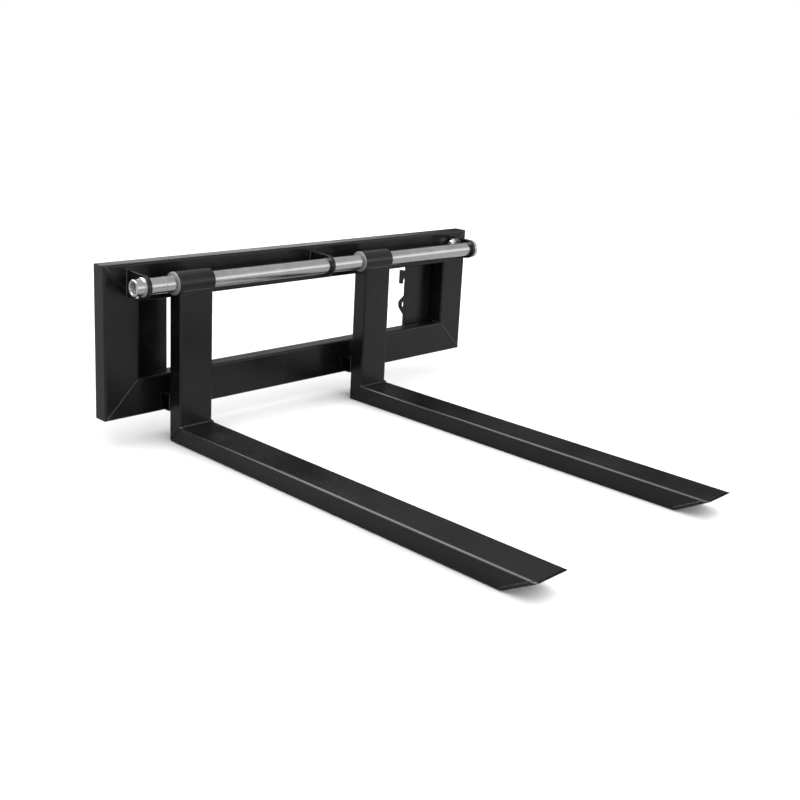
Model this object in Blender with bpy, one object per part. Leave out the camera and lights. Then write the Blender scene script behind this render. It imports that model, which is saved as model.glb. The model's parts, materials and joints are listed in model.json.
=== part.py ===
"""Pallet fork attachment: a tubular carrying frame with a hitch bracket at each end, and two
hollow forks that hang on a cross shaft, slide along it and swing up about it.

Axes: +X along the shaft, +Z up, the forks point towards -Y. Metres throughout.
"""

import math

import bmesh
import bpy
from mathutils import Vector

# Carrying frame, made of rectangular tube with mitred corners
FRAME_WIDTH = 1.350
FRAME_BOTTOM_Z = 0.070
FRAME_TOP_Z = 0.470
FRAME_FRONT_Y = 0.5595
TUBE_FACE = 0.100
TUBE_DEPTH = 0.050
TUBE_WALL = 0.005
TUBE_CORNER_RADIUS = 0.006

# Room left between pieces that touch, and between a turning piece and its bearing
GAP = 0.0003
RUNNING_CLEARANCE = 0.0001
MITRE_SETBACK = GAP / math.sqrt(2.0)

# Cross shaft, a thick-walled pipe
SHAFT_FORWARD = 0.070
SHAFT_Z = 0.423
SHAFT_RADIUS = 0.0212
SHAFT_BORE_RADIUS = 0.0156
SHAFT_LEFT_X = -0.637
SHAFT_RIGHT_X = 0.626
SHAFT_CHAMFER = 0.001
GROOVE_X = -0.553
GROOVE_WIDTH = 0.0016
GROOVE_DEPTH = 0.0006

# Lugs that carry the shaft
LUG_THICKNESS = 0.010
LUG_CENTRES_X = {"left": -0.605, "centre": 0.0, "right": 0.605}
LUG_NOSE_RADIUS = 0.029
LUG_BASE_HIGH_Z = 0.456
LUG_BASE_LOW_Z = 0.386

# Keeper plate, bolt and nut at the right end of the shaft
KEEPER_THICKNESS = 0.012
KEEPER_SHAFT_END_RADIUS = 0.028
KEEPER_BOLT_END_RADIUS = 0.015
BOLT_FORWARD = 0.018
BOLT_Z = 0.436
BOLT_RADIUS = 0.008
BOLT_HOLE_RADIUS = 0.0085
HEX_ACROSS_FLATS = 0.024
BOLT_HEAD_HEIGHT = 0.010
NUT_HEIGHT = 0.013
BOLT_END_PROUD = 0.011

# Washer and spring pin at the left end of the shaft
WASHER_RADIUS = 0.0245
WASHER_THICKNESS = 0.003
PIN_X = -0.625
PIN_HOLE_RADIUS = 0.0042
PIN_RADIUS = 0.0040
PIN_WALL = 0.0010
PIN_SLOT_ANGLE = math.radians(36.0)
PIN_SUNK = 0.0008
PIN_PROUD = 0.0045

# Forks, made of the same tube as the frame
FORK_LEFT_SIDE_X = {"left": -0.515, "right": 0.130}
FORK_WIDTH = 0.100
FORK_DEPTH = 0.050
FORK_REAR_FORWARD = 0.045
FORK_TIP_FORWARD = 1.245
FORK_BEVEL_LENGTH = 0.091
TIP_PLATE_THICKNESS = 0.006

# Sleeve welded across the top of each fork, and the flanged bush inside it
SLEEVE_RADIUS = 0.03015
SLEEVE_BORE_RADIUS = 0.02515
SLEEVE_OVERHANG = 0.004
SLEEVE_CHAMFER = 0.001
BUSH_FLANGE_RADIUS = 0.0295
BUSH_FLANGE_THICKNESS = 0.003

# Square-tube stub behind each fork that bears on the bottom tube of the frame
SPACER_LENGTH = 0.098
SPACER_LOW_Z = 0.080
SPACER_HEIGHT = 0.045
SPACER_WALL = 0.004
SPACER_CORNER_RADIUS = 0.006

# Hitch brackets at the back of the frame
HITCH_PLATE_INNER_X = 0.4575
HITCH_PLATE_WIDTH = 0.160
HITCH_PLATE_LOW_Z = 0.110
HITCH_PLATE_HIGH_Z = 0.430
HITCH_PLATE_THICKNESS = 0.012
HOOK_INNER_X = 0.500
HOOK_THICKNESS = 0.008
HOOK_LOW_Z = 0.150
HOOK_TOP_Z = 0.333
HOOK_BACK = 0.126
HOOK_BODY_BACK = 0.075
HOOK_TIP_LOW_Z = 0.288
HOOK_TIP_THICKNESS = 0.012
HOOK_THROAT_TOP_Z = 0.313
EYE_BACK = 0.104
EYE_Z = 0.219
EYE_RADIUS = 0.021
EYE_HOLE_RADIUS = 0.010

CORNER_STEPS = 5
ROUND_STEPS = 64
SMOOTH_ANGLE = math.radians(30.0)

BLACK_PAINT = (0.018, 0.018, 0.019, 1.0)
BRIGHT_STEEL = (0.62, 0.62, 0.61, 1.0)
ZINC = (0.70, 0.71, 0.70, 1.0)


def front_y(forward):
    """World Y of a plane that lies this far in front of the frame's front face."""
    return FRAME_FRONT_Y - forward


def rear_y(back):
    """World Y of a plane that lies this far behind the frame's front face."""
    return FRAME_FRONT_Y + back


SHAFT_Y = front_y(SHAFT_FORWARD)
BOLT_Y = front_y(BOLT_FORWARD)


# ---------------------------------------------------------------- objects and materials


def clear_scene():
    for obj in list(bpy.data.objects):
        bpy.data.objects.remove(obj, do_unlink=True)


def make_material(name, colour, metallic, roughness):
    material = bpy.data.materials.new(name)
    material.use_nodes = True
    shader = material.node_tree.nodes["Principled BSDF"]
    shader.inputs["Base Color"].default_value = colour
    shader.inputs["Metallic"].default_value = metallic
    shader.inputs["Roughness"].default_value = roughness
    return material


FINISHES = {
    "paint": (BLACK_PAINT, 0.0, 0.38),
    "steel": (BRIGHT_STEEL, 1.0, 0.28),
    "zinc": (ZINC, 1.0, 0.35),
}


def add_object(name, mesh_data, finish, origin=(0.0, 0.0, 0.0)):
    """Turn a closed bmesh in world coordinates into a named object with its own material."""
    bmesh.ops.remove_doubles(mesh_data, verts=mesh_data.verts, dist=1e-6)
    bmesh.ops.recalc_face_normals(mesh_data, faces=mesh_data.faces)
    bmesh.ops.translate(mesh_data, verts=mesh_data.verts, vec=-Vector(origin))
    mesh = bpy.data.meshes.new(name)
    mesh_data.to_mesh(mesh)
    mesh_data.free()
    mesh.materials.append(make_material(name, *FINISHES[finish]))
    obj = bpy.data.objects.new(name, mesh)
    obj.location = origin
    bpy.context.scene.collection.objects.link(obj)
    mesh.shade_smooth()
    mesh.set_sharp_from_angle(angle=SMOOTH_ANGLE)
    return obj


def combine(obj, cutter_data, operation):
    """Apply one exact Boolean to obj, with a cutter given as a bmesh in world coordinates."""
    bmesh.ops.recalc_face_normals(cutter_data, faces=cutter_data.faces)
    mesh = bpy.data.meshes.new("cutter")
    cutter_data.to_mesh(mesh)
    cutter_data.free()
    cutter = bpy.data.objects.new("cutter", mesh)
    cutter.hide_render = True
    cutter.display_type = "WIRE"
    bpy.context.scene.collection.objects.link(cutter)
    modifier = obj.modifiers.new("combine", "BOOLEAN")
    modifier.operation = operation
    modifier.solver = "EXACT"
    modifier.object = cutter
    bpy.context.view_layer.update()
    depsgraph = bpy.context.evaluated_depsgraph_get()
    result = bpy.data.meshes.new_from_object(obj.evaluated_get(depsgraph))
    obj.modifiers.clear()
    old = obj.data
    obj.data = result
    result.name = obj.name
    bpy.data.meshes.remove(old)
    bpy.data.objects.remove(cutter, do_unlink=True)
    result.shade_smooth()
    result.set_sharp_from_angle(angle=SMOOTH_ANGLE)


# ---------------------------------------------------------------- outlines


def arc(centre, radius, start, end, steps):
    """Points on a circle from angle start to angle end, both included."""
    points = []
    for index in range(steps + 1):
        angle = start + (end - start) * index / steps
        u = centre[0] + radius * math.cos(angle)
        v = centre[1] + radius * math.sin(angle)
        points.append((u, v))
    return points


def rounded_rectangle(low_u, low_v, high_u, high_v, radius, flat_steps=1):
    """Anticlockwise outline with rounded corners; each flat side is cut into flat_steps."""
    corners = [
        (high_u - radius, low_v + radius, -0.5 * math.pi),
        (high_u - radius, high_v - radius, 0.0),
        (low_u + radius, high_v - radius, 0.5 * math.pi),
        (low_u + radius, low_v + radius, math.pi),
    ]
    outline = []
    for u, v, start in corners:
        points = arc((u, v), radius, start, start + 0.5 * math.pi, CORNER_STEPS)
        if outline:
            outline.extend(between(outline[-1], points[0], flat_steps))
        outline.extend(points)
    outline.extend(between(outline[-1], outline[0], flat_steps))
    return outline


def between(start, end, steps):
    """The points that cut a straight line into equal steps, its ends left out."""
    points = []
    for index in range(1, steps):
        share = index / steps
        u = start[0] + (end[0] - start[0]) * share
        v = start[1] + (end[1] - start[1]) * share
        points.append((u, v))
    return points


def tangent_angle(point, centre, radius, side):
    """Angle at which a line from point touches a circle; side is +1 or -1."""
    away = math.atan2(point[1] - centre[1], point[0] - centre[0])
    distance = math.hypot(point[0] - centre[0], point[1] - centre[1])
    return away + side * math.acos(radius / distance)


def circle(centre, radius, steps=ROUND_STEPS):
    """Outline of a full circle, its first corner half a step from the +u direction."""
    start = math.pi / steps
    return arc(centre, radius, start, start + 2.0 * math.pi, steps)[:-1]


# ---------------------------------------------------------------- solids


def bridge(mesh_data, first, second):
    """Join two closed loops of vertices with a band of quads."""
    count = len(first)
    for index in range(count):
        following = (index + 1) % count
        mesh_data.faces.new((first[index], first[following], second[following], second[index]))


def loop_of(mesh_data, outline, place, height):
    """Vertices of an outline, each at the height its own position asks for."""
    return [mesh_data.verts.new(place(u, v, height(u, v))) for u, v in outline]


def hollow_bar(outer, inner, place, start, end):
    """Open-ended tube; start and end give the length coordinate at each (u, v)."""
    mesh_data = bmesh.new()
    outer_start = loop_of(mesh_data, outer, place, start)
    outer_end = loop_of(mesh_data, outer, place, end)
    inner_start = loop_of(mesh_data, inner, place, start)
    inner_end = loop_of(mesh_data, inner, place, end)
    bridge(mesh_data, outer_start, outer_end)
    bridge(mesh_data, outer_end, inner_end)
    bridge(mesh_data, inner_end, inner_start)
    bridge(mesh_data, inner_start, outer_start)
    return mesh_data


def solid_bar(outline, place, start, end):
    mesh_data = bmesh.new()
    first = loop_of(mesh_data, outline, place, start)
    second = loop_of(mesh_data, outline, place, end)
    bridge(mesh_data, first, second)
    mesh_data.faces.new(first)
    mesh_data.faces.new(second)
    return mesh_data


def cross_plate(outline, low_x, high_x):
    """Plate square to the shaft, from an outline of (y, z)."""
    return solid_bar(
        outline,
        lambda y, z, x: Vector((x, y, z)),
        lambda y, z: low_x,
        lambda y, z: high_x,
    )


def turned(profile, centre_y, centre_z, steps=ROUND_STEPS):
    """Solid of revolution about an X-parallel axis, from a closed profile of (x, radius)."""
    mesh_data = bmesh.new()
    rings = []
    for index in range(steps):
        angle = 2.0 * math.pi * index / steps
        ring = []
        for x, radius in profile:
            y = centre_y + radius * math.cos(angle)
            z = centre_z + radius * math.sin(angle)
            ring.append(mesh_data.verts.new((x, y, z)))
        rings.append(ring)
    for index in range(steps):
        bridge(mesh_data, rings[index], rings[(index + 1) % steps])
    return mesh_data


def rod(radius, low_x, high_x, centre_y, centre_z, steps=ROUND_STEPS):
    """Round bar parallel to X."""
    return cross_plate(circle((centre_y, centre_z), radius, steps), low_x, high_x)


def chamfered_ring(low_x, high_x, bore, radius, chamfer):
    """Closed profile of (x, radius) for a ring with a chamfer on both outer edges."""
    return [
        (low_x, bore),
        (low_x, radius - chamfer),
        (low_x + chamfer, radius),
        (high_x - chamfer, radius),
        (high_x, radius - chamfer),
        (high_x, bore),
    ]


def tube_outlines(width, depth, wall, radius, flat_steps=1):
    """Outer and inner outline of a rectangular tube, with the same number of points."""
    outer = rounded_rectangle(0.0, 0.0, width, depth, radius, flat_steps)
    inner = rounded_rectangle(
        wall, wall, width - wall, depth - wall, radius - wall, flat_steps
    )
    return outer, inner


# ---------------------------------------------------------------- carrying frame


def frame_tube(name, place, low, high):
    """One side of the frame; its mitres start from the outer edge, where u is zero."""
    outer, inner = tube_outlines(TUBE_FACE, TUBE_DEPTH, TUBE_WALL, TUBE_CORNER_RADIUS)
    bar = hollow_bar(
        outer,
        inner,
        place,
        lambda u, v: low + u + MITRE_SETBACK,
        lambda u, v: high - u - MITRE_SETBACK,
    )
    add_object(name, bar, "paint")


def build_frame_tubes():
    half = FRAME_WIDTH / 2.0
    frame_tube(
        "frame_top_tube",
        lambda u, v, s: Vector((s, rear_y(v), FRAME_TOP_Z - u)),
        -half,
        half,
    )
    frame_tube(
        "frame_bottom_tube",
        lambda u, v, s: Vector((s, rear_y(v), FRAME_BOTTOM_Z + u)),
        -half,
        half,
    )
    frame_tube(
        "frame_left_upright",
        lambda u, v, s: Vector((u - half, rear_y(v), s)),
        FRAME_BOTTOM_Z,
        FRAME_TOP_Z,
    )
    frame_tube(
        "frame_right_upright",
        lambda u, v, s: Vector((half - u, rear_y(v), s)),
        FRAME_BOTTOM_Z,
        FRAME_TOP_Z,
    )


def lug_outline():
    """Straight foot on the tube, sides running tangent into a nose round the shaft."""
    foot_y = front_y(GAP)
    centre = (SHAFT_Y, SHAFT_Z)
    high = (foot_y, LUG_BASE_HIGH_Z)
    low = (foot_y, LUG_BASE_LOW_Z)
    start = tangent_angle(high, centre, LUG_NOSE_RADIUS, 1.0)
    end = tangent_angle(low, centre, LUG_NOSE_RADIUS, -1.0) + 2.0 * math.pi
    return [low, high] + arc(centre, LUG_NOSE_RADIUS, start, end, 28)


def build_lugs():
    for side, centre_x in LUG_CENTRES_X.items():
        low_x = centre_x - LUG_THICKNESS / 2.0
        high_x = centre_x + LUG_THICKNESS / 2.0
        lug = add_object(
            side + "_shaft_lug", cross_plate(lug_outline(), low_x, high_x), "paint"
        )
        bore = rod(SHAFT_RADIUS + GAP, low_x - 0.01, high_x + 0.01, SHAFT_Y, SHAFT_Z)
        combine(lug, bore, "DIFFERENCE")
        if side == "right":
            hole = rod(BOLT_HOLE_RADIUS, low_x - 0.01, high_x + 0.01, BOLT_Y, BOLT_Z, 32)
            combine(lug, hole, "DIFFERENCE")


# ---------------------------------------------------------------- hitch brackets


def hook_outline():
    """Bracket seen from the side: downward hook at the top, bulge with the pin eye below."""
    foot = rear_y(TUBE_DEPTH + HITCH_PLATE_THICKNESS + 2.0 * GAP)
    body = rear_y(HOOK_BODY_BACK)
    tip_outer = rear_y(HOOK_BACK)
    tip_inner = tip_outer - HOOK_TIP_THICKNESS
    eye = (rear_y(EYE_BACK), EYE_Z)
    reach = EYE_RADIUS * math.sqrt(2.0)
    rise = eye[0] + reach - body
    throat_radius = (tip_inner - body) / 2.0
    throat = (body + throat_radius, HOOK_THROAT_TOP_Z - throat_radius)
    outline = [(foot, HOOK_LOW_Z), (body, HOOK_LOW_Z), (body, EYE_Z - rise)]
    outline += arc(eye, EYE_RADIUS, -0.25 * math.pi, 0.25 * math.pi, 12)
    outline.append((body, EYE_Z + rise))
    outline += arc(throat, throat_radius, math.pi, 0.0, 20)
    outline += [
        (tip_inner, HOOK_TIP_LOW_Z),
        (tip_outer, HOOK_TIP_LOW_Z),
        (tip_outer, HOOK_TOP_Z),
        (foot, HOOK_TOP_Z),
    ]
    return outline


def build_hitch(side, sign):
    """Flat plate on the back of the frame, and the hook plate that stands on it."""
    near_x = sign * HITCH_PLATE_INNER_X
    far_x = sign * (HITCH_PLATE_INNER_X + HITCH_PLATE_WIDTH)
    near_y = rear_y(TUBE_DEPTH + GAP)
    far_y = near_y + HITCH_PLATE_THICKNESS
    outline = [(near_y, HITCH_PLATE_LOW_Z), (far_y, HITCH_PLATE_LOW_Z)]
    outline += [(far_y, HITCH_PLATE_HIGH_Z), (near_y, HITCH_PLATE_HIGH_Z)]
    add_object(side + "_hitch_plate", cross_plate(outline, near_x, far_x), "paint")

    hook_near_x = sign * HOOK_INNER_X
    hook_far_x = sign * (HOOK_INNER_X + HOOK_THICKNESS)
    hook = add_object(
        side + "_hitch_hook", cross_plate(hook_outline(), hook_near_x, hook_far_x), "paint"
    )
    margin = sign * 0.01
    hole = rod(
        EYE_HOLE_RADIUS, hook_near_x - margin, hook_far_x + margin, rear_y(EYE_BACK), EYE_Z, 40
    )
    combine(hook, hole, "DIFFERENCE")


# ---------------------------------------------------------------- shaft and its fastenings


def build_shaft():
    edge = SHAFT_RADIUS - SHAFT_CHAMFER
    groove_edge = GROOVE_X + GROOVE_WIDTH
    bore_edge = SHAFT_BORE_RADIUS + SHAFT_CHAMFER
    profile = [
        (SHAFT_LEFT_X + SHAFT_CHAMFER, SHAFT_BORE_RADIUS),
        (SHAFT_LEFT_X, bore_edge),
        (SHAFT_LEFT_X, edge),
        (SHAFT_LEFT_X + SHAFT_CHAMFER, SHAFT_RADIUS),
        (GROOVE_X, SHAFT_RADIUS),
        (GROOVE_X, SHAFT_RADIUS - GROOVE_DEPTH),
        (groove_edge, SHAFT_RADIUS - GROOVE_DEPTH),
        (groove_edge, SHAFT_RADIUS),
        (SHAFT_RIGHT_X - SHAFT_CHAMFER, SHAFT_RADIUS),
        (SHAFT_RIGHT_X, edge),
        (SHAFT_RIGHT_X, bore_edge),
        (SHAFT_RIGHT_X - SHAFT_CHAMFER, SHAFT_BORE_RADIUS),
    ]
    shaft = add_object("fork_shaft", turned(profile, SHAFT_Y, SHAFT_Z), "steel")
    hole = solid_bar(
        circle((PIN_X, SHAFT_Y), PIN_HOLE_RADIUS, 20),
        lambda x, y, z: Vector((x, y, z)),
        lambda x, y: SHAFT_Z - 2.0 * SHAFT_RADIUS,
        lambda x, y: SHAFT_Z + 2.0 * SHAFT_RADIUS,
    )
    combine(shaft, hole, "DIFFERENCE")


def build_washer():
    high_x = LUG_CENTRES_X["left"] - LUG_THICKNESS / 2.0 - GAP
    low_x = high_x - WASHER_THICKNESS
    profile = chamfered_ring(low_x, high_x, SHAFT_RADIUS + GAP, WASHER_RADIUS, 0.0006)
    add_object("shaft_end_washer", turned(profile, SHAFT_Y, SHAFT_Z), "zinc")


def build_spring_pin():
    """Rolled steel pin, open down one side, sunk at the top and proud underneath."""
    start = math.pi + 0.5 * PIN_SLOT_ANGLE
    end = start + 2.0 * math.pi - PIN_SLOT_ANGLE
    centre = (PIN_X, SHAFT_Y)
    outline = arc(centre, PIN_RADIUS, start, end, 28)
    outline += arc(centre, PIN_RADIUS - PIN_WALL, end, start, 28)
    pin = solid_bar(
        outline,
        lambda x, y, z: Vector((x, y, z)),
        lambda x, y: SHAFT_Z - SHAFT_RADIUS - PIN_PROUD,
        lambda x, y: SHAFT_Z + SHAFT_RADIUS - PIN_SUNK,
    )
    add_object("shaft_spring_pin", pin, "zinc")


def keeper_outline():
    """Two round ends, one about the shaft and one about the bolt, and their common tangents."""
    shaft_end = Vector((SHAFT_Y, SHAFT_Z))
    bolt_end = Vector((BOLT_Y, BOLT_Z))
    across = bolt_end - shaft_end
    heading = math.atan2(across.y, across.x)
    spread = math.acos((KEEPER_SHAFT_END_RADIUS - KEEPER_BOLT_END_RADIUS) / across.length)
    outline = arc(bolt_end, KEEPER_BOLT_END_RADIUS, heading - spread, heading + spread, 16)
    outline += arc(
        shaft_end,
        KEEPER_SHAFT_END_RADIUS,
        heading + spread,
        heading - spread + 2.0 * math.pi,
        32,
    )
    return outline


def hexagon(across_flats, low_x, high_x, centre_y, centre_z):
    corner = across_flats / math.sqrt(3.0)
    return rod(corner, low_x, high_x, centre_y, centre_z, 6)


def crown(across_flats, low_x, high_x, centre_y, centre_z, both_ends):
    """Turned blank whose cones take the corners off a hexagon when the two are intersected."""
    face_radius = across_flats * 0.475
    wide_radius = across_flats * 0.62
    slope = (wide_radius - face_radius) * math.tan(math.radians(30.0))
    profile = [(low_x, 0.0), (low_x, face_radius), (low_x + slope, wide_radius)]
    if both_ends:
        profile += [(high_x - slope, wide_radius), (high_x, face_radius), (high_x, 0.0)]
    else:
        profile += [(high_x, wide_radius), (high_x, 0.0)]
    return turned(profile, centre_y, centre_z, 48)


def build_keeper():
    low_x = LUG_CENTRES_X["right"] + LUG_THICKNESS / 2.0 + GAP
    high_x = low_x + KEEPER_THICKNESS
    plate = add_object(
        "shaft_keeper_plate", cross_plate(keeper_outline(), low_x, high_x), "zinc"
    )
    for radius, y, z, steps in (
        (SHAFT_RADIUS + GAP, SHAFT_Y, SHAFT_Z, ROUND_STEPS),
        (BOLT_HOLE_RADIUS, BOLT_Y, BOLT_Z, 32),
    ):
        combine(plate, rod(radius, low_x - 0.01, high_x + 0.01, y, z, steps), "DIFFERENCE")

    nut_high_x = LUG_CENTRES_X["right"] - LUG_THICKNESS / 2.0 - GAP
    nut_low_x = nut_high_x - NUT_HEIGHT
    nut = add_object(
        "keeper_nut",
        hexagon(HEX_ACROSS_FLATS, nut_low_x, nut_high_x, BOLT_Y, BOLT_Z),
        "zinc",
    )
    combine(
        nut,
        crown(HEX_ACROSS_FLATS, nut_low_x, nut_high_x, BOLT_Y, BOLT_Z, True),
        "INTERSECT",
    )
    combine(
        nut,
        rod(BOLT_RADIUS + GAP, nut_low_x - 0.01, nut_high_x + 0.01, BOLT_Y, BOLT_Z, 32),
        "DIFFERENCE",
    )

    head_low_x = high_x + GAP
    head_high_x = head_low_x + BOLT_HEAD_HEIGHT
    end_x = nut_low_x - BOLT_END_PROUD
    bolt = add_object(
        "keeper_bolt",
        hexagon(HEX_ACROSS_FLATS, head_low_x, head_high_x, BOLT_Y, BOLT_Z),
        "zinc",
    )
    combine(
        bolt,
        crown(HEX_ACROSS_FLATS, head_high_x, head_low_x, BOLT_Y, BOLT_Z, False),
        "INTERSECT",
    )
    chamfer = 0.0012
    shank = [
        (end_x, 0.0),
        (end_x, BOLT_RADIUS - chamfer),
        (end_x + chamfer, BOLT_RADIUS),
        (head_low_x + 0.004, BOLT_RADIUS),
        (head_low_x + 0.004, 0.0),
    ]
    combine(bolt, turned(shank, BOLT_Y, BOLT_Z, 32), "UNION")


# ---------------------------------------------------------------- forks


def fork_origin(left_x):
    """Middle of the fork's sleeve, on the axis it slides along and swings about."""
    return (left_x + FORK_WIDTH / 2.0, SHAFT_Y, SHAFT_Z)


def build_shank(side, left_x):
    """Upright leg: mitred at the heel and saddled over the sleeve at the top."""
    saddle_radius = SLEEVE_RADIUS + GAP
    outer, inner = tube_outlines(FORK_DEPTH, FORK_WIDTH, TUBE_WALL, TUBE_CORNER_RADIUS, 12)

    def top(u, v):
        offset = FORK_REAR_FORWARD + u - SHAFT_FORWARD
        return SHAFT_Z - math.sqrt(saddle_radius**2 - offset**2)

    bar = hollow_bar(
        outer,
        inner,
        lambda u, v, s: Vector((left_x + v, front_y(FORK_REAR_FORWARD + u), s)),
        lambda u, v: u + MITRE_SETBACK,
        top,
    )
    add_object(side + "_fork_shank", bar, "paint", fork_origin(left_x))


def bevel_forward(height, setback):
    """How far forward the sloping tip lies at a height above the fork's underside."""
    start = FORK_TIP_FORWARD - FORK_BEVEL_LENGTH
    return start + FORK_BEVEL_LENGTH * height / FORK_DEPTH - setback


def build_blade(side, left_x):
    """Lying leg, closed at its sloping end by the tip plate."""
    slope = math.atan2(FORK_DEPTH, FORK_BEVEL_LENGTH)
    plate_run = TIP_PLATE_THICKNESS / math.sin(slope)
    joint_run = plate_run + GAP / math.sin(slope)
    outer, inner = tube_outlines(FORK_DEPTH, FORK_WIDTH, TUBE_WALL, TUBE_CORNER_RADIUS)

    def place(u, v, s):
        return Vector((left_x + v, front_y(s), u))

    bar = hollow_bar(
        outer,
        inner,
        place,
        lambda u, v: FORK_REAR_FORWARD + u + MITRE_SETBACK,
        lambda u, v: bevel_forward(u, joint_run),
    )
    add_object(side + "_fork_blade", bar, "paint", fork_origin(left_x))
    tip = solid_bar(
        outer,
        place,
        lambda u, v: bevel_forward(u, plate_run),
        lambda u, v: bevel_forward(u, 0.0),
    )
    add_object(side + "_fork_tip_plate", tip, "paint", fork_origin(left_x))


def build_sleeve(side, left_x):
    low_x = left_x - SLEEVE_OVERHANG
    high_x = left_x + FORK_WIDTH + SLEEVE_OVERHANG
    profile = chamfered_ring(
        low_x, high_x, SLEEVE_BORE_RADIUS, SLEEVE_RADIUS, SLEEVE_CHAMFER
    )
    sleeve = turned(profile, SHAFT_Y, SHAFT_Z)
    add_object(side + "_fork_sleeve", sleeve, "paint", fork_origin(left_x))

    flange_high_x = low_x - GAP
    flange_low_x = flange_high_x - BUSH_FLANGE_THICKNESS
    bore = SHAFT_RADIUS + RUNNING_CLEARANCE
    body = SLEEVE_BORE_RADIUS - RUNNING_CLEARANCE
    bush = [
        (flange_low_x, bore),
        (flange_low_x, BUSH_FLANGE_RADIUS - SLEEVE_CHAMFER),
        (flange_low_x + SLEEVE_CHAMFER, BUSH_FLANGE_RADIUS),
        (flange_high_x, BUSH_FLANGE_RADIUS),
        (flange_high_x, body),
        (high_x, body),
        (high_x, bore),
    ]
    bush_body = turned(bush, SHAFT_Y, SHAFT_Z)
    add_object(side + "_fork_bush", bush_body, "steel", fork_origin(left_x))


def build_spacer(side, left_x):
    """Open square-tube stub, lying along X, between the shank and the bottom tube."""
    low_y = front_y(FORK_REAR_FORWARD) + GAP
    depth = FORK_REAR_FORWARD - 2.0 * GAP
    outer, inner = tube_outlines(depth, SPACER_HEIGHT, SPACER_WALL, SPACER_CORNER_RADIUS)
    start_x = left_x + (FORK_WIDTH - SPACER_LENGTH) / 2.0
    bar = hollow_bar(
        outer,
        inner,
        lambda u, v, s: Vector((s, low_y + u, SPACER_LOW_Z + v)),
        lambda u, v: start_x,
        lambda u, v: start_x + SPACER_LENGTH,
    )
    add_object(side + "_fork_spacer", bar, "paint", fork_origin(left_x))


def build_fork(side, left_x):
    build_sleeve(side, left_x)
    build_shank(side, left_x)
    build_blade(side, left_x)
    build_spacer(side, left_x)


def main():
    clear_scene()
    build_frame_tubes()
    build_lugs()
    for side, sign in (("left", -1.0), ("right", 1.0)):
        build_hitch(side, sign)
    build_shaft()
    build_washer()
    build_spring_pin()
    build_keeper()
    for side, left_x in FORK_LEFT_SIDE_X.items():
        build_fork(side, left_x)


main()
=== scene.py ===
"""Looks of the pallet fork attachment: coated steel tube with weld beads, a bright ground shaft,
zinc-plated fastenings, and a plain white studio round it. Metres, +X along the shaft, +Z up.
"""

import json
import math
import random

import bmesh
import bpy
from mathutils import Matrix, Vector


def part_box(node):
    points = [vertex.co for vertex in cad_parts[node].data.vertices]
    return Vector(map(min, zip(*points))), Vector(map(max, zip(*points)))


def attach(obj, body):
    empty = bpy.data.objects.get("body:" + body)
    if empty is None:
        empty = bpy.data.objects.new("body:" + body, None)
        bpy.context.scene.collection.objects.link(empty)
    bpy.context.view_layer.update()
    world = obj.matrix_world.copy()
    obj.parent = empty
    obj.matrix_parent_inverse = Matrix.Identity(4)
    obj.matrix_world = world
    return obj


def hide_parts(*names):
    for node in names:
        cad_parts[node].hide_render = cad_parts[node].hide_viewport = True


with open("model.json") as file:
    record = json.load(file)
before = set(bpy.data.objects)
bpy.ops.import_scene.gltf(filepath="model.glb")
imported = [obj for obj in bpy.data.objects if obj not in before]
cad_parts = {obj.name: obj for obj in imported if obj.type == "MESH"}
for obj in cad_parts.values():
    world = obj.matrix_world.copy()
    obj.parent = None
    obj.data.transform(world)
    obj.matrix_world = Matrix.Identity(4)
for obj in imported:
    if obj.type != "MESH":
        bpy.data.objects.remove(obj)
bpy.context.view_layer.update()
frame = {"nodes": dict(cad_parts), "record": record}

# Camera: where it stands, where it looks, its lens and its sensor in millimetres
CAMERA_PLACE = (-2.0899, -1.7851, 0.9695)
CAMERA_HEADING = math.radians(46.18)
CAMERA_PITCH = math.radians(14.50)
CAMERA_ROLL = math.radians(3.00)
CAMERA_LENS = 49.66
SENSOR_WIDTH = 36.0
CAMERA_SHIFT = (0.0103, -0.0566)

# Colours of the coating, linear
BLACK_DEEP = (0.0024, 0.0024, 0.0026)
BLACK_WORN = (0.0050, 0.0050, 0.0052)

# Sizes that the frame doesn't give
TUBE_CORNER_RADIUS = 0.006
TUBE_DEPTH = 0.050
TUBE_WALL = 0.005
GROOVE_WIDTH = 0.0024
JOINT_REACH = 0.0008
WELD_DISTANCE = 0.000002
FLAT_ANGLE = math.radians(0.4)
SHARP_ANGLE = math.radians(38.0)
BORE_SHARE = 0.755
SHAFT_GROOVE_X = -0.553
SHAFT_GROOVE_REACH = 0.002
SHAFT_SKIN_SHARE = 0.992
MITRE_BEAD_INSET = 0.0022
DRESSED_BEAD = 0.0006
OPEN_BEAD = 0.0013
LUG_FOOT_LOW = 0.386
LUG_FOOT_HIGH = 0.456

# Keeper bolt, M16
BOLT_RADIUS = 0.008
BOLT_FLATS = 0.024
THREAD_PITCH = 0.002
THREAD_DEPTH = 0.0011
THREAD_LEAD = 0.0015
THREAD_TURNS = 40
HEAD_SIDES = 48
HEAD_CROWN = 0.0016
HEAD_GAP = 0.0003
HEAD_EDGE = 0.0003

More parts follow.
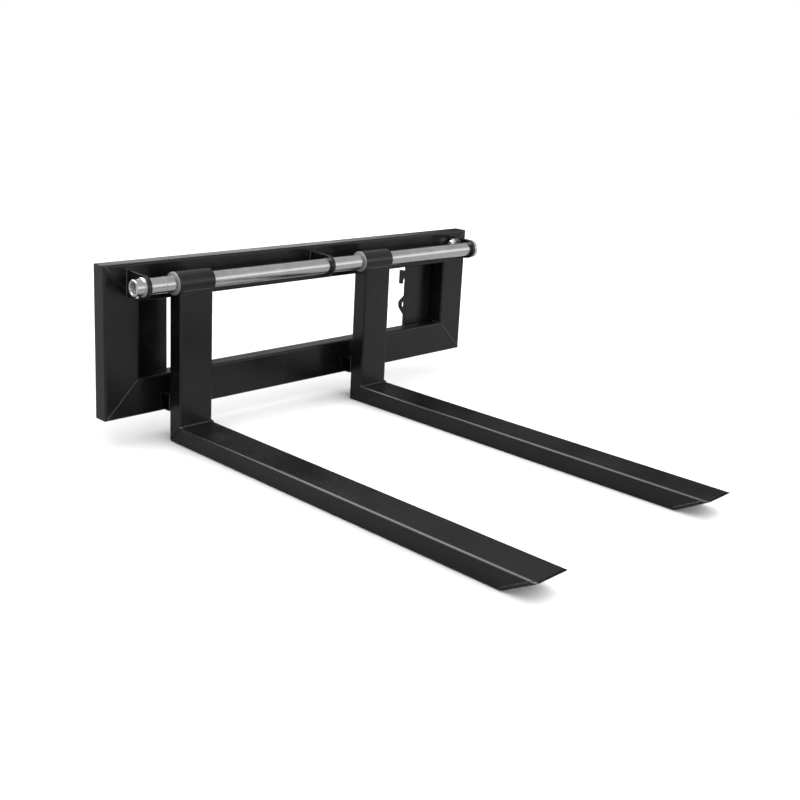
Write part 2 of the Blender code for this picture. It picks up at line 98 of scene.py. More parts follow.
# Studio: floor, and a sky that is brightest near the horizon, with a dark part at the back
FLOOR_SIZE = 60.0
FLOOR_Z = -0.0003
FLOOR_WHITE = (0.93, 0.93, 0.93)
FLOOR_MIRRORED = (0.31, 0.31, 0.31)
SKY_STRENGTH = 1.0
SKY_LOW = (1.25, 1.25, 1.25)
SKY_HIGH = (0.48, 0.48, 0.48)
SKY_DARK = (0.03, 0.03, 0.03)
SKY_CHANGE = ((0.0, 0.0, 1.0), 0.15, 0.50)
DARK_RIGHT_OF = ((-0.695, 0.719, 0.0), 0.07, -0.05)
DARK_ABOVE = ((0.0, 0.0, 1.0), 0.17, 0.23)
DARK_BACK_OF = ((0.0, 1.0, 0.0), -0.05, 0.20)
DARK_BELOW = ((0.0, 0.0, 1.0), 0.46, 0.38)

# Lamps: the key isn't mirrored, the panel is only mirrored
KEY_FROM = (0.22, -0.40, 1.0)
KEY_ANGLE = math.radians(115.0)
KEY_STRENGTH = 4.0
PANEL_PLACE = (-1.55, 2.00, 2.60)
PANEL_TARGET = (-0.1, 0.0, 0.1)
PANEL_SIZE = (3.8, 3.8)
PANEL_POWER = 240.0


# ---------------------------------------------------------------- node helpers


class Nodes:
    """Short way to write a material's node tree."""

    def __init__(self, material):
        material.use_nodes = True
        self.tree = material.node_tree
        self.shader = self.tree.nodes["Principled BSDF"]

    def add(self, kind, **settings):
        node = self.tree.nodes.new(kind)
        for key, value in settings.items():
            setattr(node, key, value)
        return node

    def link(self, output, socket):
        self.tree.links.new(output, socket)

    def place(self, stretch=(1.0, 1.0, 1.0)):
        """Object coordinates, scaled by stretch along each axis."""
        coordinates = self.add("ShaderNodeTexCoord")
        mapping = self.add("ShaderNodeMapping")
        mapping.inputs["Scale"].default_value = stretch
        self.link(coordinates.outputs["Object"], mapping.inputs["Vector"])
        return mapping.outputs["Vector"]

    def noise(self, vector, scale, detail=3.0, roughness=0.55):
        node = self.add("ShaderNodeTexNoise")
        node.inputs["Scale"].default_value = scale
        node.inputs["Detail"].default_value = detail
        node.inputs["Roughness"].default_value = roughness
        self.link(vector, node.inputs["Vector"])
        return node.outputs["Fac"]

    def ranged(self, value, low, high, from_low=0.3, from_high=0.7):
        node = self.add("ShaderNodeMapRange")
        node.inputs["From Min"].default_value = from_low
        node.inputs["From Max"].default_value = from_high
        node.inputs["To Min"].default_value = low
        node.inputs["To Max"].default_value = high
        self.link(value, node.inputs["Value"])
        return node.outputs["Result"]

    def mixed(self, factor, first, second):
        """Colour between two constants."""
        node = self.add("ShaderNodeMix", data_type="RGBA")
        node.inputs["A"].default_value = (*first, 1.0)
        node.inputs["B"].default_value = (*second, 1.0)
        self.link(factor, node.inputs["Factor"])
        return node.outputs["Result"]

    def sum(self, first, second, share):
        """first plus share times second."""
        node = self.add("ShaderNodeMath", operation="MULTIPLY_ADD")
        node.inputs[1].default_value = share
        self.link(second, node.inputs[0])
        self.link(first, node.inputs[2])
        return node.outputs["Value"]

    def bump(self, height, distance, strength=1.0):
        node = self.add("ShaderNodeBump")
        node.inputs["Strength"].default_value = strength
        node.inputs["Distance"].default_value = distance
        self.link(height, node.inputs["Height"])
        self.link(node.outputs["Normal"], self.shader.inputs["Normal"])


# ---------------------------------------------------------------- materials


def black_coating(name, scuff_stretch=None, gloss_range=(0.15, 0.27), shine=0.50):
    """Powder coat: near black, semi-gloss, with a fine orange peel and cloudy gloss."""
    material = bpy.data.materials.new(name)
    n = Nodes(material)
    vector = n.place()
    cloud = n.noise(vector, 7.0, 4.0)
    grain = n.noise(vector, 620.0, 2.0)
    peel = n.noise(vector, 190.0, 2.0)
    colour = n.mixed(n.ranged(cloud, 0.0, 1.0), BLACK_DEEP, BLACK_WORN)
    n.link(colour, n.shader.inputs["Base Color"])
    gloss = n.sum(n.ranged(cloud, *gloss_range), grain, 0.06)
    if scuff_stretch:
        scuffs = n.noise(n.place(scuff_stretch), 1.0, 5.0, 0.7)
        gloss = n.sum(gloss, n.ranged(scuffs, 0.0, 1.0, 0.60, 0.80), 0.07)
    n.link(gloss, n.shader.inputs["Roughness"])
    n.shader.inputs["Specular IOR Level"].default_value = shine
    n.bump(n.sum(peel, grain, 0.35), 0.00012, 0.55)
    return material


def ground_steel(name):
    """Bright drawn steel, ground round its axis, with long faint draw lines."""
    material = bpy.data.materials.new(name)
    n = Nodes(material)
    rings = n.noise(n.place((900.0, 40.0, 40.0)), 1.0, 3.0)
    draw = n.noise(n.place((3.0, 500.0, 500.0)), 1.0, 2.0)
    cloud = n.noise(n.place(), 26.0, 4.0)
    colour = n.mixed(n.ranged(cloud, 0.0, 1.0), (0.60, 0.60, 0.595), (0.70, 0.70, 0.695))
    n.link(colour, n.shader.inputs["Base Color"])
    n.shader.inputs["Metallic"].default_value = 1.0
    gloss = n.sum(n.ranged(cloud, 0.13, 0.21), rings, 0.10)
    n.link(gloss, n.shader.inputs["Roughness"])
    n.bump(n.sum(rings, draw, 0.5), 0.00002, 0.6)
    return material


def zinc_plate(name):
    """Bright zinc plating with a fine mottle."""
    material = bpy.data.materials.new(name)
    n = Nodes(material)
    vector = n.place()
    mottle = n.noise(vector, 240.0, 4.0)
    grain = n.noise(vector, 1500.0, 2.0)
    colour = n.mixed(n.ranged(mottle, 0.0, 1.0), (0.66, 0.67, 0.67), (0.84, 0.84, 0.83))
    n.link(colour, n.shader.inputs["Base Color"])
    n.shader.inputs["Metallic"].default_value = 1.0
    n.link(n.ranged(mottle, 0.30, 0.46), n.shader.inputs["Roughness"])
    n.bump(grain, 0.00003, 0.5)
    return material


def dull_steel(name, dark, light):
    """Drawn, unmachined steel: dull grey with long streaks along the shaft."""
    material = bpy.data.materials.new(name)
    n = Nodes(material)
    streaks = n.noise(n.place((12.0, 260.0, 260.0)), 1.0, 4.0)
    colour = n.mixed(n.ranged(streaks, 0.0, 1.0), dark, light)
    n.link(colour, n.shader.inputs["Base Color"])
    n.link(n.ranged(streaks, 0.50, 0.68), n.shader.inputs["Roughness"])
    n.shader.inputs["Metallic"].default_value = 0.25
    n.bump(streaks, 0.00005, 0.6)
    return material


def floor_material():
    """White to look at; the object mirrors it as a grey concrete floor."""
    material = bpy.data.materials.new("studio_floor")
    n = Nodes(material)
    rays = n.add("ShaderNodeLightPath")
    colour = n.mixed(rays.outputs["Is Camera Ray"], FLOOR_MIRRORED, FLOOR_WHITE)
    n.link(colour, n.shader.inputs["Base Color"])
    n.shader.inputs["Roughness"].default_value = 0.9
    n.shader.inputs["Specular IOR Level"].default_value = 0.0
    return material


PAINT = black_coating("black_coating")
BLADE_PAINT = black_coating("black_coating_scuffed", (70.0, 4.0, 24.0), (0.17, 0.29))
WELD_PAINT = black_coating("black_coating_weld", gloss_range=(0.10, 0.20), shine=0.75)
STEEL = ground_steel("ground_steel")
BORE = dull_steel("pipe_bore", (0.30, 0.30, 0.295), (0.52, 0.52, 0.51))
BUSH = dull_steel("bush_steel", (0.17, 0.17, 0.165), (0.30, 0.30, 0.295))
ZINC = zinc_plate("zinc_plate")
FINISH = {
    "black_coating": PAINT,
    "black_coating_scuffed": BLADE_PAINT,
    "ground_steel": STEEL,
    "zinc_plate": ZINC,
    "bush_steel": BUSH,
}


# ---------------------------------------------------------------- making pieces


def finish_piece(name, mesh_data, material, body):
    """Turn a bmesh in world coordinates into a shown piece that rides on a body."""
    bmesh.ops.recalc_face_normals(mesh_data, faces=mesh_data.faces)
    mesh = bpy.data.meshes.new(name)
    mesh_data.to_mesh(mesh)
    mesh_data.free()
    mesh.materials.append(material)
    mesh.shade_smooth()
    piece = bpy.data.objects.new(name, mesh)
    bpy.context.scene.collection.objects.link(piece)
    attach(piece, body)
    return piece


def soften_edges(piece, width, segments=2, weighted=False):
    """Small round on every sharp edge, with normals that keep the flat faces flat."""
    bevel = piece.modifiers.new("edges", "BEVEL")
    bevel.limit_method = "WEIGHT" if weighted else "ANGLE"
    bevel.angle_limit = SHARP_ANGLE
    bevel.width = width
    bevel.segments = segments
    bevel.use_clamp_overlap = True
    normals = piece.modifiers.new("normals", "WEIGHTED_NORMAL")
    normals.keep_sharp = True
    normals.weight = 70


def weigh_edges(mesh_data, node, edge_share, joint_line):
    """Bevel weights: full around the outside of the heel's mitre, less on the other edges.

    The mitre's plane is y + z = joint_line. The tube's inner edges there stay sharp.
    """
    low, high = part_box(node)
    weights = mesh_data.edges.layers.float.new("bevel_weight_edge")
    for edge in mesh_data.edges:
        if len(edge.link_faces) != 2 or edge.calc_face_angle() < SHARP_ANGLE:
            continue
        off = max(abs(v.co.y + v.co.z - joint_line) for v in edge.verts)
        if off > JOINT_REACH:
            edge[weights] = edge_share
            continue
        ends = [v.co for v in edge.verts]
        inset = max(min(c.x - low.x, high.x - c.x, c.z, TUBE_DEPTH - c.z) for c in ends)
        edge[weights] = 1.0 if inset < TUBE_WALL * 0.8 else 0.0


def body_of(node):
    for body, members in frame["record"]["behaviour"]["bodies"].items():
        if node in members:
            return body
    raise ValueError(node)


def refine(node, material, edge, joint_line=None):
    """Stand a smooth-shaded mesh with softened edges in for a CAD node of the same shape."""
    mesh_data = bmesh.new()
    source = frame["nodes"][node].data
    corners = [mesh_data.verts.new(v.co) for v in source.vertices]
    for face in source.polygons:
        mesh_data.faces.new([corners[i] for i in face.vertices])
    bmesh.ops.remove_doubles(mesh_data, verts=mesh_data.verts, dist=WELD_DISTANCE)
    bmesh.ops.dissolve_limit(
        mesh_data,
        angle_limit=FLAT_ANGLE,
        verts=mesh_data.verts,
        edges=mesh_data.edges,
    )
    if joint_line is not None:
        weigh_edges(mesh_data, node, edge / GROOVE_WIDTH, joint_line)
    piece = finish_piece(node + "_made", mesh_data, FINISH[material], body_of(node))
    if joint_line is None:
        soften_edges(piece, edge)
    else:
        soften_edges(piece, GROOVE_WIDTH, 1, True)
    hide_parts(node)
    return piece


def dull_bore(shaft):
    """Give the pipe's inside and the bottom of its groove their own, duller finish."""
    low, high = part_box("fork_shaft")
    axis = (low + high) / 2.0
    radius = (high.z - low.z) / 2.0
    shaft.data.materials.append(BORE)
    for face in shaft.data.polygons:
        out = math.hypot(face.center.y - axis.y, face.center.z - axis.z)
        inside = out < radius * BORE_SHARE and abs(face.normal.x) < 0.5
        near_groove = abs(face.center.x - SHAFT_GROOVE_X) < SHAFT_GROOVE_REACH
        grooved = out < radius * SHAFT_SKIN_SHARE and near_groove
        if inside or grooved:
            face.material_index = 1


def refine_nodes():
    """Each node's finish, its slot and the width of its softened edges."""
    for part in ("top_tube", "bottom_tube", "left_upright", "right_upright"):
        refine("frame_" + part, "black_coating", 0.0006)
    for side in ("left", "centre", "right"):
        refine(side + "_shaft_lug", "black_coating", 0.0009)
    for side in ("left", "right"):
        refine(side + "_hitch_plate", "black_coating", 0.0010)
        refine(side + "_hitch_hook", "black_coating", 0.0008)
        refine(side + "_fork_sleeve", "black_coating", 0.0004)
        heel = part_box(side + "_fork_shank")[0].y + TUBE_DEPTH
        refine(side + "_fork_shank", "black_coating", 0.0009, heel)
        refine(side + "_fork_blade", "black_coating_scuffed", 0.0009, heel)
        refine(side + "_fork_tip_plate", "black_coating_scuffed", 0.0008)
        refine(side + "_fork_spacer", "black_coating", 0.0006)
        refine(side + "_fork_bush", "bush_steel", 0.0003)
    dull_bore(refine("fork_shaft", "ground_steel", 0.0003))
    refine("shaft_end_washer", "zinc_plate", 0.0003)
    refine("shaft_keeper_plate", "zinc_plate", 0.0006)
    refine("keeper_nut", "zinc_plate", 0.0003)
    refine("shaft_spring_pin", "zinc_plate", 0.0001)


# ---------------------------------------------------------------- weld beads


def resample(path, outs, step, closed):
    """Even steps along a path of points, each with its outward direction and distance."""
    points = [Vector(p) for p in path]
    directions = [Vector(o).normalized() for o in outs]
    if closed:
        points.append(points[0])
        directions.append(directions[0])
    runs = [(b - a).length for a, b in zip(points, points[1:])]
    total = sum(runs)
    count = max(int(round(total / step)), 4)
    samples = []
    index = 0
    done = 0.0
    last = count if closed else count + 1
    for k in range(last):
        distance = total * k / count
        while index < len(runs) - 1 and done + runs[index] < distance - 1e-12:
            done += runs[index]
            index += 1
        share = (distance - done) / runs[index] if runs[index] > 0.0 else 0.0
        share = min(max(share, 0.0), 1.0)
        point = points[index].lerp(points[index + 1], share)
        out = directions[index].lerp(directions[index + 1], share).normalized()
        samples.append((point, out, distance))
    return samples, total


def bead_section(width, height, sink, swell, phase_of):
    """Cross-section of a bead: a crown with crescent ripples, and a base under the surface."""
    half = 0.5 * width * (1.0 + 0.5 * swell)
    section = []
    lanes = 8
    for lane in range(lanes + 1):
        u = -1.0 + 2.0 * lane / lanes
        crown = (1.0 - u * u) ** 0.75
        ripple = 1.0 + phase_of(u)
        section.append((half * u, height * crown * ripple * (1.0 + swell)))
    section.append((half * 0.9, -sink))
    section.append((-half * 0.9, -sink))
    return section


def weld_bead(name, body, path, outs, width=0.005, height=0.0016, **options):
    """A hand-laid bead: overlapping ripples, a slightly wandering width and rounded ends."""
    closed = options.get("closed", False)
    pitch = options.get("pitch", 0.0021)
    sink = options.get("sink", 0.0012)
    depth = options.get("ripple", 0.16)
    step = pitch / 4.0
    samples, total = resample(path, outs, step, closed)
    dice = random.Random(name)
    wander = [dice.uniform(0.0, 2.0 * math.pi) for _ in range(3)]
    mesh_data = bmesh.new()
    rings = []
    count = len(samples)
    for index, (point, out, distance) in enumerate(samples):
        before = samples[index - 1] if index > 0 or closed else samples[index]
        after = samples[(index + 1) % count] if index < count - 1 or closed else samples[index]
        along = (after[0] - before[0]).normalized()
        side = along.cross(out).normalized()
        out = side.cross(along).normalized()
        swell = 0.0
        for order, start in enumerate(wander):
            swell += 0.06 * math.sin(distance * (210.0 + 170.0 * order) + start)
        taper = 1.0
        if not closed:
            edge = min(distance, total - distance) / (0.55 * width)
            taper = math.sqrt(max(1.0 - (1.0 - min(edge, 1.0)) ** 2, 0.12))

        def ripple(u, distance=distance):
            turn = (distance + 0.45 * width * u * u) / pitch
            return depth * (1.0 - 2.0 * (turn % 1.0)) * (1.0 - u * u)

        section = bead_section(width * taper, height * taper, sink, swell, ripple)
        rings.append([mesh_data.verts.new(point + side * a + out * b) for a, b in section])
    pairs = list(zip(rings, rings[1:]))
    if closed:
        pairs.append((rings[-1], rings[0]))
    for first, second in pairs:
        size = len(first)
        for index in range(size):
            other = (index + 1) % size
            mesh_data.faces.new((first[index], first[other], second[other], second[index]))
    if not closed:
        mesh_data.faces.new(rings[0])
        mesh_data.faces.new(rings[-1])
    return finish_piece(name, mesh_data, WELD_PAINT, body)


def mitre_beads():
    """Beads on the front, inner and rear sides of the frame's four mitred corners."""
    low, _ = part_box("frame_bottom_tube")
    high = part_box("frame_top_tube")[1]
    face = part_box("frame_bottom_tube")[1].z - low.z
    front, rear = low.y, low.y + TUBE_DEPTH
    corners = {
        "top_left": (low.x, high.z, 1.0, -1.0),
        "top_right": (high.x, high.z, -1.0, -1.0),
        "bottom_left": (low.x, low.z, 1.0, 1.0),
        "bottom_right": (high.x, low.z, -1.0, 1.0),
    }
    start = 0.0035
    stop = face - 0.004
    for name, (x, z, inward_x, inward_z) in corners.items():

        def at(u, y):
            return Vector((x + inward_x * u, y, z + inward_z * u))

        height = DRESSED_BEAD if name.startswith("top") else OPEN_BEAD
        for label, y, out in (("front", front, -1.0), ("rear", rear, 1.0)):
            weld_bead(
                f"weld_frame_{name}_{label}",
                "frame",
                [at(start, y), at(stop, y)],
                [(0.0, out, 0.0)] * 2,
                width=0.0062,
                height=height,
            )
        inside = Vector((inward_x, 0.0, inward_z)).normalized()
        weld_bead(
            f"weld_frame_{name}_inner",
            "frame",
            [at(face, front + 0.004), at(face, rear - 0.004)],
            [inside] * 2,
            width=0.0075,
            height=0.0030,
        )
        weld_bead(
            f"weld_frame_{name}_outer",
            "frame",
            [
                at(MITRE_BEAD_INSET, front + TUBE_CORNER_RADIUS),
                at(MITRE_BEAD_INSET, rear - TUBE_CORNER_RADIUS),
            ],
            [-inside] * 2,
            width=0.0066,
            height=0.0018,
            ripple=0.20,
        )


def fillet_line(name, body, start, end, out, leg=0.005):
    """Straight fillet bead in the corner between two faces."""
    return weld_bead(
        name,
        body,
        [start, end],
        [out] * 2,
        width=leg * math.sqrt(2.0),
        height=leg * 0.62,
        sink=leg * 0.30,
    )


def lug_beads():
    """Fillets down both sides of each lug's foot and short ones across its ends."""
    for side in ("left", "centre", "right"):
        low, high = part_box(side + "_shaft_lug")
        tube_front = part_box("frame_top_tube")[0].y
        for label, x, sign in (("a", low.x, -1.0), ("b", high.x, 1.0)):
            fillet_line(
                f"weld_{side}_lug_{label}",
                "frame",
                Vector((x, tube_front, LUG_FOOT_LOW - 0.001)),
                Vector((x, tube_front, LUG_FOOT_HIGH + 0.001)),
                Vector((sign, -1.0, 0.0)),
                0.0050,
            )
        for label, z, sign in (("top", LUG_FOOT_HIGH, 1.0), ("foot", LUG_FOOT_LOW, -1.0)):
            fillet_line(
                f"weld_{side}_lug_{label}",
                "frame",
                Vector((low.x - 0.002, tube_front, z)),
                Vector((high.x + 0.002, tube_front, z)),
                Vector((0.0, -1.0, sign)),
                0.0045,
            )


def fork_beads(side):
    """Beads of one fork: sleeve saddle, heel, spacer stub and tip plate."""
    body = side + "_fork"
    low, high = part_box(side + "_fork_shank")
    sleeve_low, sleeve_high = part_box(side + "_fork_sleeve")
    axis = (sleeve_low + sleeve_high) / 2.0
    sleeve_radius = (sleeve_high.z - sleeve_low.z) / 2.0
    saddle_beads(side, body, low, high, axis, sleeve_radius)

    blade_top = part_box(side + "_fork_blade")[1].z
    fillet_line(
        f"weld_{side}_heel_inner",
        body,
        Vector((low.x + 0.004, low.y, blade_top)),
        Vector((high.x - 0.005, low.y, blade_top)),
        Vector((0.0, -1.0, 1.0)),
        0.0070,
    )
    for label, x, sign in (("a", low.x, -1.0), ("b", high.x, 1.0)):
        lump(
            f"weld_{side}_heel_end_{label}",
            body,
            Vector((x - sign * 0.0036, low.y - 0.0012, blade_top - 0.0024)),
            0.0066,
        )
    weld_bead(
        f"weld_{side}_heel_outer",
        body,
        [
            Vector((low.x + 0.007, high.y - 0.0013, 0.0013)),
            Vector((high.x - 0.007, high.y - 0.0013, 0.0013)),
        ],
        [(0.0, 1.0, -1.0)] * 2,
        width=0.0030,
        height=0.0010,
        ripple=0.05,
    )
    spacer_beads(side, body, high.y)
    tip_beads(side, body)


def saddle_beads(side, body, low, high, axis, radius):
    """Beads between the sleeve and the saddled top of the shank, on all four sides."""
    half = (high.y - low.y) / 2.0
    spread = math.asin(half / radius) - 0.05
    for label, x, sign in (("a", low.x, -1.0), ("b", high.x, 1.0)):
        path = []
        outs = []
        steps = 14
        for index in range(steps + 1):
            angle = -spread + 2.0 * spread * index / steps
            direction = Vector((0.0, math.sin(angle), -math.cos(angle)))
            path.append(Vector((x, axis.y, axis.z)) + direction * radius)
            outs.append(direction + Vector((sign, 0.0, 0.0)))
        weld_bead(
            f"weld_{side}_saddle_{label}", body, path, outs, width=0.0052, height=0.0017
        )
    drop = math.sqrt(radius**2 - half**2)
    for label, y, sign in (("front", low.y, -1.0), ("rear", high.y, 1.0)):
        weld_bead(
            f"weld_{side}_saddle_{label}",
            body,
            [
                Vector((low.x + 0.006, y, axis.z - drop - 0.0002)),
                Vector((high.x - 0.006, y, axis.z - drop - 0.0002)),
            ],
            [(0.0, sign, 0.25)] * 2,
            width=0.0060,
            height=0.0012,
        )


def spacer_beads(side, body, shank_rear):
    """Fillets round the stub where it meets the back of the shank."""
    low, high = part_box(side + "_fork_spacer")
    for label, z, sign in (("top", high.z, 1.0), ("foot", low.z, -1.0)):
        fillet_line(
            f"weld_{side}_spacer_{label}",
            body,
            Vector((low.x + 0.003, shank_rear, z - sign * 0.002)),
            Vector((high.x - 0.003, shank_rear, z - sign * 0.002)),
            Vector((0.0, 1.0, sign)),
            0.0048,
        )
    for label, x, sign in (("a", low.x, -1.0), ("b", high.x, 1.0)):
        fillet_line(
            f"weld_{side}_spacer_{label}",
            body,
            Vector((x, shank_rear, low.z + 0.006)),
            Vector((x, shank_rear, high.z - 0.006)),
            Vector((sign, 1.0, 0.0)),
            0.0040,
        )


def tip_beads(side, body):
    """Seam round the tip plate: low, and dressed flush on the underside."""
    low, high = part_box(side + "_fork_tip_plate")
    blade_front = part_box(side + "_fork_blade")[0].y
    radius = TUBE_CORNER_RADIUS
    setback = (high.y - blade_front) * radius / (high.z - low.z)
    weld_bead(
        f"weld_{side}_tip_top",
        body,
        [
            Vector((low.x + radius, blade_front, high.z)),
            Vector((high.x - radius, blade_front, high.z)),
        ],
        [(0.0, 0.0, 1.0)] * 2,
        width=0.0038,
        height=0.0003,
    )
    for label, x, sign in (("a", low.x, -1.0), ("b", high.x, 1.0)):
        start = Vector((x, blade_front + setback, high.z - radius))
        stop = Vector((x, high.y - setback, low.z + radius))
        weld_bead(
            f"weld_{side}_tip_{label}",
            body,
            [start, stop],
            [(sign, 0.0, 0.0)] * 2,
            width=0.0038,
            height=0.0005,
        )


def lump(name, body, centre, radius):
    """Rounded run-out where a bead stops: an uneven flattened ball."""
    dice = random.Random(name)
    mesh_data = bmesh.new()
    bmesh.ops.create_icosphere(mesh_data, subdivisions=3, radius=radius)
    phases = [dice.uniform(0.0, 2.0 * math.pi) for _ in range(3)]
    for vertex in mesh_data.verts:
        unit = vertex.co.normalized()
        wave = 0.0
        for axis, start in enumerate(phases):
            wave += 0.06 * math.sin(3.0 * unit[axis] + start)
        vertex.co = centre + unit * radius * (1.0 + wave)
    return finish_piece(name, mesh_data, WELD_PAINT, body)


def hitch_beads():
    """Beads round the hitch plates, where they lie on the frame, and down the hooks' feet."""
    tube_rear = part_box("frame_top_tube")[1].y
    opening_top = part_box("frame_top_tube")[0].z
    opening_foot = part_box("frame_bottom_tube")[1].z
    for side, sign in (("left", -1.0), ("right", 1.0)):
        low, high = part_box(side + "_hitch_plate")
        for label, z, up in (("top", high.z, 1.0), ("foot", low.z, -1.0)):
            fillet_line(
                f"weld_{side}_plate_{label}",
                "frame",
                Vector((low.x, tube_rear, z)),
                Vector((high.x, tube_rear, z)),
                Vector((0.0, 1.0, up)),
                0.0060,
            )
        inner_x = low.x if sign > 0.0 else high.x
        outer_x = high.x if sign > 0.0 else low.x
        for label, start, stop in (
            ("upper", opening_top + 0.006, high.z),
            ("lower", low.z, opening_foot - 0.006),
        ):
            fillet_line(
                f"weld_{side}_plate_inner_{label}",
                "frame",
                Vector((inner_x, tube_rear, start)),
                Vector((inner_x, tube_rear, stop)),
                Vector((-sign, 1.0, 0.0)),
                0.0060,
            )
        fillet_line(
            f"weld_{side}_plate_outer",
            "frame",
            Vector((outer_x, tube_rear, low.z)),
            Vector((outer_x, tube_rear, high.z)),
            Vector((sign, 1.0, 0.0)),
            0.0060,
        )
        hook_low, hook_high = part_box(side + "_hitch_hook")
        for label, x, way in (("a", hook_low.x, -1.0), ("b", hook_high.x, 1.0)):
            fillet_line(
                f"weld_{side}_hook_{label}",
                "frame",
                Vector((x, high.y, hook_low.z)),
                Vector((x, high.y, hook_high.z)),
                Vector((way, 1.0, 0.0)),
                0.0055,
            )


def ring_at(mesh_data, x, centre, sizes):
    """Ring of points round the bolt's axis at x, one for each size."""
    ring = []
    for k, size in enumerate(sizes):
        angle = 2.0 * math.pi * k / len(sizes)
        y = centre.y + size * math.cos(angle)
        z = centre.z + size * math.sin(angle)
        ring.append(mesh_data.verts.new((x, y, z)))
    return ring


def join_rings(mesh_data, rings):
    """Skin between the rings, closed at both ends."""
    for first, second in zip(rings, rings[1:]):
        for k in range(len(first)):
            other = (k + 1) % len(first)
            mesh_data.faces.new((first[k], first[other], second[other], second[k]))
    mesh_data.faces.new(rings[0])
    mesh_data.faces.new(rings[-1])


def thread_sizes(along):
    """Radii round the thread at a distance from its end, where it starts thin."""
    lead_in = min(along / THREAD_LEAD, 1.0)
    sizes = []
    for k in range(THREAD_TURNS):
        turn = (along / THREAD_PITCH - k / THREAD_TURNS) % 1.0
        groove = THREAD_DEPTH * (1.0 - abs(2.0 * turn - 1.0))
        sizes.append(min(BOLT_RADIUS - groove, BOLT_RADIUS - THREAD_DEPTH * (1.0 - lead_in)))
    return sizes


def head_sizes(fullness):
    """Radii round the hexagon; the crown's fullness is 0 at the head's rounded end."""
    corner = BOLT_FLATS / math.sqrt(3.0)
    sizes = []
    for k in range(HEAD_SIDES):
        angle = 2.0 * math.pi * k / HEAD_SIDES
        fold = (angle % (math.pi / 3.0)) - math.pi / 6.0
        hexagon = corner * math.cos(math.pi / 6.0) / math.cos(fold)
        sizes.append(min(hexagon, BOLT_FLATS * 0.475 + fullness * BOLT_FLATS))
    return sizes


def keeper_bolt():
    """Bolt with a rolled thread, in place of its plain solid."""
    low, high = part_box("keeper_bolt")
    centre = (low + high) / 2.0
    head_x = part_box("shaft_keeper_plate")[1].x + HEAD_GAP
    count = int((head_x - low.x) / (THREAD_PITCH / 10.0))
    thread = bmesh.new()
    rings = []
    for index in range(count + 1):
        x = low.x + (head_x + 0.001 - low.x) * index / count
        rings.append(ring_at(thread, x, centre, thread_sizes(x - low.x)))
    join_rings(thread, rings)
    shank = finish_piece("keeper_bolt_thread", thread, ZINC, "frame")
    shank.data.set_sharp_from_angle(angle=math.radians(50.0))

    head = bmesh.new()
    layers = ((head_x, 1.0), (high.x - HEAD_CROWN, 1.0), (high.x, 0.0))
    join_rings(head, [ring_at(head, x, centre, head_sizes(share)) for x, share in layers])
    cap = finish_piece("keeper_bolt_head", head, ZINC, "frame")
    soften_edges(cap, HEAD_EDGE)
    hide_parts("keeper_bolt")


def studio():
    """Plain floor, sky and lamps."""
    floor_mesh = bmesh.new()
    bmesh.ops.create_grid(floor_mesh, x_segments=4, y_segments=4, size=FLOOR_SIZE / 2.0)
    mesh = bpy.data.meshes.new("studio_floor")
    floor_mesh.to_mesh(mesh)
    floor_mesh.free()
    mesh.materials.append(floor_material())
    floor = bpy.data.objects.new("studio_floor", mesh)
    floor.location = (0.0, 0.0, FLOOR_Z)
    bpy.context.scene.collection.objects.link(floor)

    studio_sky()
    side_panel()
    key_light()
    bpy.context.scene.view_settings.view_transform = "Standard"


class Sky:
    """Short way to write the world's node tree."""

    def __init__(self, world):
        world.use_nodes = True
        self.tree = world.node_tree
        self.background = self.tree.nodes["Background"]
        self.direction = self.tree.nodes.new("ShaderNodeTexCoord").outputs["Generated"]

    def along(self, setting):
        """0 to 1 between two values of the direction's share along an axis."""
        axis, none, full = setting
        dot = self.tree.nodes.new("ShaderNodeVectorMath")
        dot.operation = "DOT_PRODUCT"
        dot.inputs[1].default_value = axis
        self.tree.links.new(self.direction, dot.inputs[0])
        ranged = self.tree.nodes.new("ShaderNodeMapRange")
        ranged.inputs["From Min"].default_value = none
        ranged.inputs["From Max"].default_value = full
        self.tree.links.new(dot.outputs["Value"], ranged.inputs["Value"])
        return ranged.outputs["Result"]

    def joined(self, operation, first, second):
        node = self.tree.nodes.new("ShaderNodeMath")
        node.operation = operation
        self.tree.links.new(first, node.inputs[0])
        self.tree.links.new(second, node.inputs[1])
        return node.outputs["Value"]

    def mixed(self, factor, first, second):
        """Colour between first and second; each is a socket or a constant."""
        node = self.tree.nodes.new("ShaderNodeMix")
        node.data_type = "RGBA"
        self.tree.links.new(factor, node.inputs["Factor"])
        for colour, socket in ((first, node.inputs["A"]), (second, node.inputs["B"])):
            if isinstance(colour, tuple):
                socket.default_value = (*colour, 1.0)
            else:
                self.tree.links.new(colour, socket)
        return node.outputs["Result"]


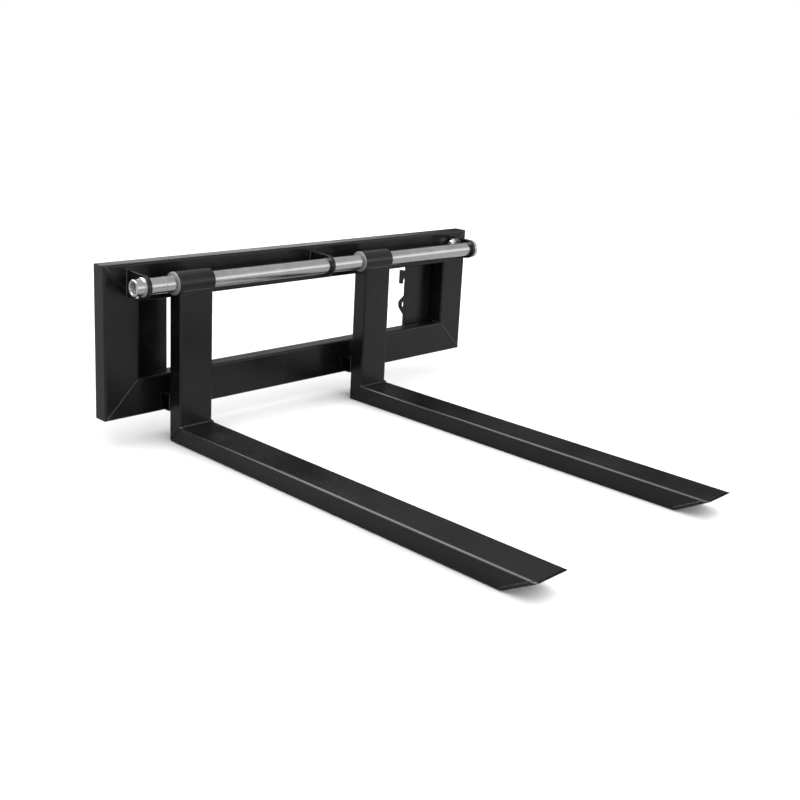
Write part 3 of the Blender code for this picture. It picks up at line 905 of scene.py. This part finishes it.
def studio_sky():
    """What the object mirrors; the camera itself sees a plain white backdrop."""
    world = bpy.data.worlds.new("studio_sky")
    bpy.context.scene.world = world
    sky = Sky(world)
    pale = sky.mixed(sky.along(SKY_CHANGE), SKY_LOW, SKY_HIGH)
    dark = sky.joined("MAXIMUM", sky.along(DARK_RIGHT_OF), sky.along(DARK_ABOVE))
    dark = sky.joined("MULTIPLY", dark, sky.along(DARK_BACK_OF))
    dark = sky.joined("MULTIPLY", dark, sky.along(DARK_BELOW))
    shown = sky.mixed(dark, pale, SKY_DARK)
    rays = sky.tree.nodes.new("ShaderNodeLightPath")
    backdrop = sky.mixed(rays.outputs["Is Camera Ray"], shown, (1.0, 1.0, 1.0))
    sky.tree.links.new(backdrop, sky.background.inputs["Color"])
    sky.background.inputs["Strength"].default_value = SKY_STRENGTH


def side_panel():
    """Soft panel high at the back left, which the forks' left edges mirror as bright lines."""
    data = bpy.data.lights.new("side_panel", "AREA")
    data.shape = "RECTANGLE"
    data.size, data.size_y = PANEL_SIZE
    data.energy = PANEL_POWER
    light = bpy.data.objects.new("side_panel", data)
    light.location = PANEL_PLACE
    heading = Vector(PANEL_TARGET) - Vector(PANEL_PLACE)
    light.rotation_euler = heading.to_track_quat("-Z", "Y").to_euler()
    light.visible_camera = False
    light.visible_diffuse = False
    bpy.context.scene.collection.objects.link(light)


def key_light():
    """One large soft source, high at the front right."""
    data = bpy.data.lights.new("key", "SUN")
    data.angle = KEY_ANGLE
    data.energy = KEY_STRENGTH
    light = bpy.data.objects.new("key", data)
    light.rotation_euler = (-Vector(KEY_FROM)).to_track_quat("-Z", "Y").to_euler()
    light.visible_glossy = False
    bpy.context.scene.collection.objects.link(light)


def camera():
    """The one camera, placed and turned by the constants above."""
    data = bpy.data.cameras.new("camera")
    data.lens = CAMERA_LENS
    data.sensor_width = SENSOR_WIDTH
    data.shift_x, data.shift_y = CAMERA_SHIFT
    data.clip_start = 0.05
    data.clip_end = 200.0
    cam = bpy.data.objects.new("camera", data)
    ahead = Vector(
        (
            math.sin(CAMERA_HEADING) * math.cos(CAMERA_PITCH),
            math.cos(CAMERA_HEADING) * math.cos(CAMERA_PITCH),
            -math.sin(CAMERA_PITCH),
        )
    )
    turn = ahead.to_track_quat("-Z", "Y").to_matrix().to_4x4()
    roll = Matrix.Rotation(CAMERA_ROLL, 4, "Z")
    cam.matrix_world = Matrix.Translation(CAMERA_PLACE) @ turn @ roll
    bpy.context.scene.collection.objects.link(cam)
    bpy.context.scene.camera = cam


camera()
refine_nodes()
mitre_beads()
lug_beads()
for fork_side in ("left", "right"):
    fork_beads(fork_side)
hitch_beads()
keeper_bolt()
studio()
